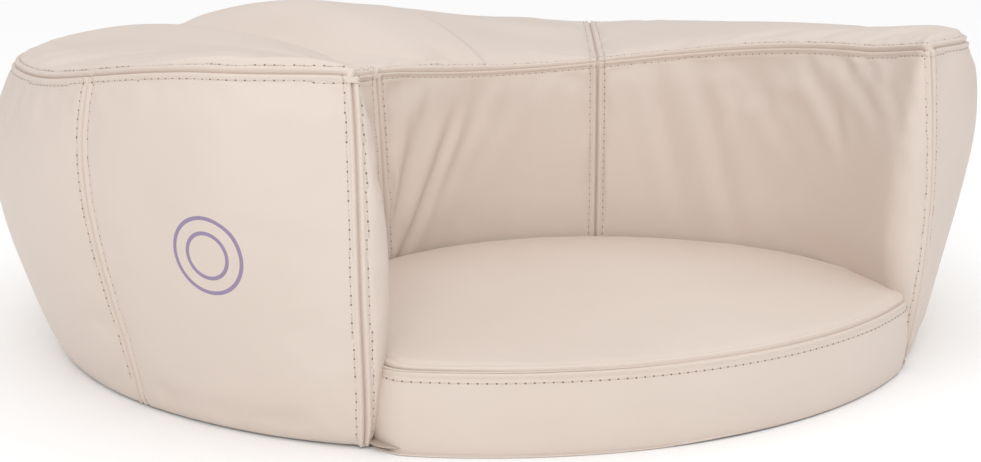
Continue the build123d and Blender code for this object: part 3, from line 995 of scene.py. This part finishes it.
def seat_outline(t, grow=0.0):
    """Point t of the way round the cushion's plan: 0 at the rear, 0.5 at the front, 0.25 on the right."""
    t = (t + 0.5) % 1 - 0.5
    side, share = math.copysign(1, t), abs(t) * 2
    rear, front, corner = SEAT_RADIUS + grow, SEAT_FRONT + grow, CORNER + grow
    near_by, far = front - corner, rear - END_PINCH - corner
    y = (near_by**2 - far**2 + HOLLOW_Y**2) / (2 * HOLLOW_Y)
    knuckle = Vector((math.sqrt(near_by**2 - y**2), y, 0))
    hollow = Vector((0, HOLLOW_Y, 0))
    off_rear = (knuckle - hollow).normalized()
    off_front = knuckle.normalized()
    rear_angle = math.atan2(off_rear.x, off_rear.y)
    front_angle = math.atan2(off_front.x, -off_front.y)
    lengths = (rear_angle * rear, off_rear.angle(off_front) * corner, front_angle * front)
    run = share * sum(lengths)
    if run <= lengths[0]:
        a = run / rear
        pinched = rear - END_PINCH * smooth(math.radians(55), rear_angle, a)
        p = hollow + Vector((math.sin(a), math.cos(a), 0)) * pinched
    elif run <= lengths[0] + lengths[1]:
        p = knuckle + off_rear.slerp(off_front, (run - lengths[0]) / lengths[1]) * corner
    else:
        a = (sum(lengths) - run) / front
        p = Vector((math.sin(a), -math.cos(a), 0)) * front
    return Vector((p.x * side, p.y, 0))


def seat_round():
    """Length of the cushion's outline."""
    points = [seat_outline(i / 400) for i in range(401)]
    return sum((b - a).length for a, b in zip(points, points[1:]))


def cushion_point(u, v, z_edge, crown, shoulder, grow=0.0):
    """Point of a crowned cushion face, from a square grid drawn out to the outline."""
    r = max(abs(u), abs(v))
    angle = 0.0
    if r > 0:
        angle = math.pi / 4 * (u / v) if abs(v) >= abs(u) else math.pi / 2 - math.pi / 4 * (v / u)
        if (abs(v) >= abs(u) and v < 0) or (abs(v) < abs(u) and u < 0):
            angle += math.pi
    edge = seat_outline(angle / (2 * math.pi), grow)
    p = SEAT_MIDDLE.lerp(edge, r)
    inside = (1 - r) * (edge - SEAT_MIDDLE).length
    p.z = z_edge + shoulder * (1 - math.exp(-inside / (5 * MM))) + crown * (1 - r * r)
    return p


def seat_top_point(u, v):
    """Point of the cushion's top."""
    rise = SEAT_TOP_Z - SEAT_SEAM_Z
    return cushion_point(u, v, SEAT_SEAM_Z, 0.55 * rise, 0.38 * rise)


def seat_side_point(t, v):
    """Side of the cushion: v from the floor to the top seam."""
    facing = smooth(0.20, 0.30, abs((t + 0.5) % 1 - 0.5))
    swell = mix(0.8 * MM, 3.0 * MM, facing) * math.sin(math.pi * v) ** 0.8
    p = seat_outline(t, swell + 0.3 * MM)
    p.z = mix(mix(SEAT_FOOT_Z, 0.8 * MM, facing), SEAT_SEAM_Z, v)
    return p


def seat_rim_way(p):
    """Which way the cushion's top seam faces: half up, half off the cushion."""
    return ((p - SEAT_MIDDLE).normalized() * 0.8 + Vector((0, 0, 1))).normalized()


seat_stitches = ([], [])
seat_grid = lines(-1, 1, CUSHION_GRID, 0.4)
leather_panel("seat_top_panel_leather", seat_grid, seat_grid, seat_top_point, "seat", ("seat_top_panel",),
              leather_finish, "udlr", {side: seat_rim_way for side in "udlr"})
us = lines(FRONT_TURN, 1 - FRONT_TURN, GRID, 0.56, False, False)
vs = lines(0, 1, FINE_GRID, CUSHION_GIRTH, False, True)
front_side = leather_panel("seat_front_boxing_leather", us, vs, seat_side_point, "seat",
                           ("seat_front_boxing",), leather_finish, "u", {"u": seat_rim_way}, flip=True)
seat_low = (SEAT_ZIP_Z - SEAT_ZIP_GAP - SEAT_FOOT_Z) / (SEAT_SEAM_Z - SEAT_FOOT_Z)
seat_high = (SEAT_ZIP_Z + SEAT_ZIP_GAP - SEAT_FOOT_Z) / (SEAT_SEAM_Z - SEAT_FOOT_Z)
seat_half = SEAT_ZIP_HALF / 360 * 2 * math.pi * SEAT_RADIUS / seat_round()
us = lines(-FRONT_TURN, FRONT_TURN, GRID, 0.7, False, False, also=(-seat_half, seat_half))
vs = lines(0, 1, FINE_GRID, CUSHION_GIRTH, False, True, also=(seat_low, seat_high))
seat_window = (-seat_half, seat_half, seat_low, seat_high)
rear_side = leather_panel("seat_rear_boxing_leather", us, vs, seat_side_point, "seat",
                          ("seat_rear_boxing",), leather_finish, "u", {"u": seat_rim_way}, seat_window, True)
seat_rows = (
    (front_side, FRONT_TURN + 0.002, 1 - FRONT_TURN - 0.002),
    (rear_side, -FRONT_TURN, FRONT_TURN),
)
for obj, start, end in seat_rows:
    topstitch(obj, seat_side_point, start, end, 0, 1, "u", seat_stitches, CUSHION_TOPSTITCH)
sewing_pieces("seat", seat_stitches)


# grid for the padding that the cover hides
coarse = [-1 + i / 20 for i in range(41)]


def cushion_form(inset, low, high, crown, shoulder):
    """A closed cushion shape between two heights, drawn in by inset, with a crowned top."""
    bm, _ = laid_grid(coarse, coarse, lambda u, v: cushion_point(u, v, high, crown, shoulder, -inset))
    under, _ = laid_grid(coarse, coarse, lambda u, v: cushion_point(u, v, low, 0, 0, -inset))
    bmesh.ops.reverse_faces(under, faces=under.faces[:])
    mesh = bpy.data.meshes.new("under")
    under.to_mesh(mesh)
    under.free()
    bm.from_mesh(mesh)
    bpy.data.meshes.remove(mesh)
    bmesh.ops.bridge_loops(bm, edges=[e for e in bm.edges if e.is_boundary])
    bmesh.ops.recalc_face_normals(bm, faces=bm.faces[:])
    return bm


rise = SEAT_TOP_Z - SEAT_SEAM_Z
bm = cushion_form(5.0 * MM, 5.6 * MM, 35.9 * MM, 0, 0)
padding_piece("seat_base_foam_slab", "seat", bm, ("seat_base_foam",), foam_finish)
bm = cushion_form(5.0 * MM, 36.1 * MM, 55.5 * MM, 0.5 * rise, 0)
padding_piece("seat_comfort_foam_slab", "seat", bm, ("seat_comfort_foam",), foam_finish)


def wadding_layer_point(u, v):
    """Point of the wadding just under the cushion's top."""
    return cushion_point(u, v, SEAT_SEAM_Z - 1.6 * MM, 0.55 * rise, 0.38 * rise, -3.4 * MM)


bm, _ = laid_grid(coarse, coarse, wadding_layer_point)
layer = padding_piece("seat_wadding_layer", "seat", bm, ("seat_wadding",), wadding_finish)
thick = layer.modifiers.new("wadding thickness", "SOLIDIFY")
thick.thickness = 1.8 * MM
thick.offset = -1


# ---------------------------------------------------------------- the base sheet under the wall
def base_sheet():
    """Round non-slip sheet under the wall, its hem rounded and tucked just inside the cover."""
    bm = bmesh.new()
    bmesh.ops.create_circle(bm, cap_ends=True, segments=128, radius=BASE_SHEET_RADIUS)
    bmesh.ops.translate(bm, verts=bm.verts[:], vec=(0, 0, 0.1 * MM))
    made = bmesh.ops.extrude_face_region(bm, geom=bm.faces[:])["geom"]
    raised = [g for g in made if isinstance(g, bmesh.types.BMVert)]
    bmesh.ops.translate(bm, verts=raised, vec=(0, 0, BASE_THICKNESS - 0.2 * MM))
    bmesh.ops.recalc_face_normals(bm, faces=bm.faces[:])
    hem = [e for e in bm.edges if len(e.link_faces) == 2 and e.calc_face_angle(0) > 1.2]
    bmesh.ops.bevel(bm, geom=hem, affect="EDGES", offset=0.6 * MM, segments=2, profile=0.5, material=-1)
    piece_from(bm, "base_sheet", sheet_finish, "wall", ("base_panel",))


base_sheet()

# ---------------------------------------------------------------- floor, light and camera
FLOOR_HALF = 30
DOME_BASE = 0.2
DOME_OVERHEAD = 1.14
DOME_FRONT = 0.12
FRONT_WAY = (-0.42, -0.91, 0)
CAMERA_PLACE = (-0.49495, -1.07452, 0.325)
TURN = math.radians(24.7)
DIP = math.radians(12.24)

bm = bmesh.new()
bmesh.ops.create_grid(bm, x_segments=1, y_segments=1, size=FLOOR_HALF)
floor_mesh = bpy.data.meshes.new("pale floor")
bm.to_mesh(floor_mesh)
bm.free()
floor = bpy.data.objects.new("pale_floor", floor_mesh)
bpy.context.scene.collection.objects.link(floor)
floor_finish, _, _, floor_shader = new_material("pale floor")
floor_shader.inputs["Base Color"].default_value = (0.97, 0.97, 0.97, 1)
floor_shader.inputs["Roughness"].default_value = 0.95
floor_shader.inputs["Specular IOR Level"].default_value = 0.0
floor_mesh.materials.append(floor_finish)


def studio_dome():
    """Soft white surround: brightest overhead, dimmer at the sides, so the form's turns show."""
    world = bpy.data.worlds.new("studio")
    bpy.context.scene.world = world
    world.use_nodes = True
    nodes, links = world.node_tree.nodes, world.node_tree.links
    coords = nodes.new("ShaderNodeTexCoord")
    lifts = []
    for way, amount in (((0, 0, 1), DOME_OVERHEAD), (FRONT_WAY, DOME_FRONT)):
        facing = nodes.new("ShaderNodeVectorMath")
        facing.operation = "DOT_PRODUCT"
        facing.inputs[1].default_value = way
        links.new(coords.outputs["Generated"], facing.inputs[0])
        positive = maths(nodes, links, "MAXIMUM", facing.outputs["Value"], 0.0)
        lifts.append(maths(nodes, links, "MULTIPLY", positive, amount))
    lifted = maths(nodes, links, "ADD", lifts[0], lifts[1])
    strength = maths(nodes, links, "ADD", lifted, DOME_BASE)
    nodes["Background"].inputs["Color"].default_value = (1, 1, 1, 1)
    links.new(strength, nodes["Background"].inputs["Strength"])


studio_dome()


def softbox(name, place, target, size, power):
    """A soft rectangular lamp that faces a target."""
    light = bpy.data.lights.new(name, "AREA")
    light.shape = "RECTANGLE"
    light.size, light.size_y = size
    light.energy = power
    lamp = bpy.data.objects.new(name, light)
    bpy.context.scene.collection.objects.link(lamp)
    lamp.location = place
    lamp.rotation_euler = (Vector(target) - Vector(place)).to_track_quat("-Z", "Y").to_euler()


softbox("front softbox", (-1.3, -2.55, 1.65), (0, 0, 0.1), (1.4, 1.1), 23)

camera_data = bpy.data.cameras.new("camera")
camera_data.lens = 50.0
camera_data.sensor_width = 36.0
camera = bpy.data.objects.new("camera", camera_data)
bpy.context.scene.collection.objects.link(camera)
camera.location = CAMERA_PLACE
gaze = Vector((math.sin(TURN) * math.cos(DIP), math.cos(TURN) * math.cos(DIP), -math.sin(DIP)))
camera.rotation_euler = gaze.to_track_quat("-Z", "Y").to_euler()
bpy.context.scene.camera = camera
bpy.context.scene.view_settings.view_transform = "Standard"
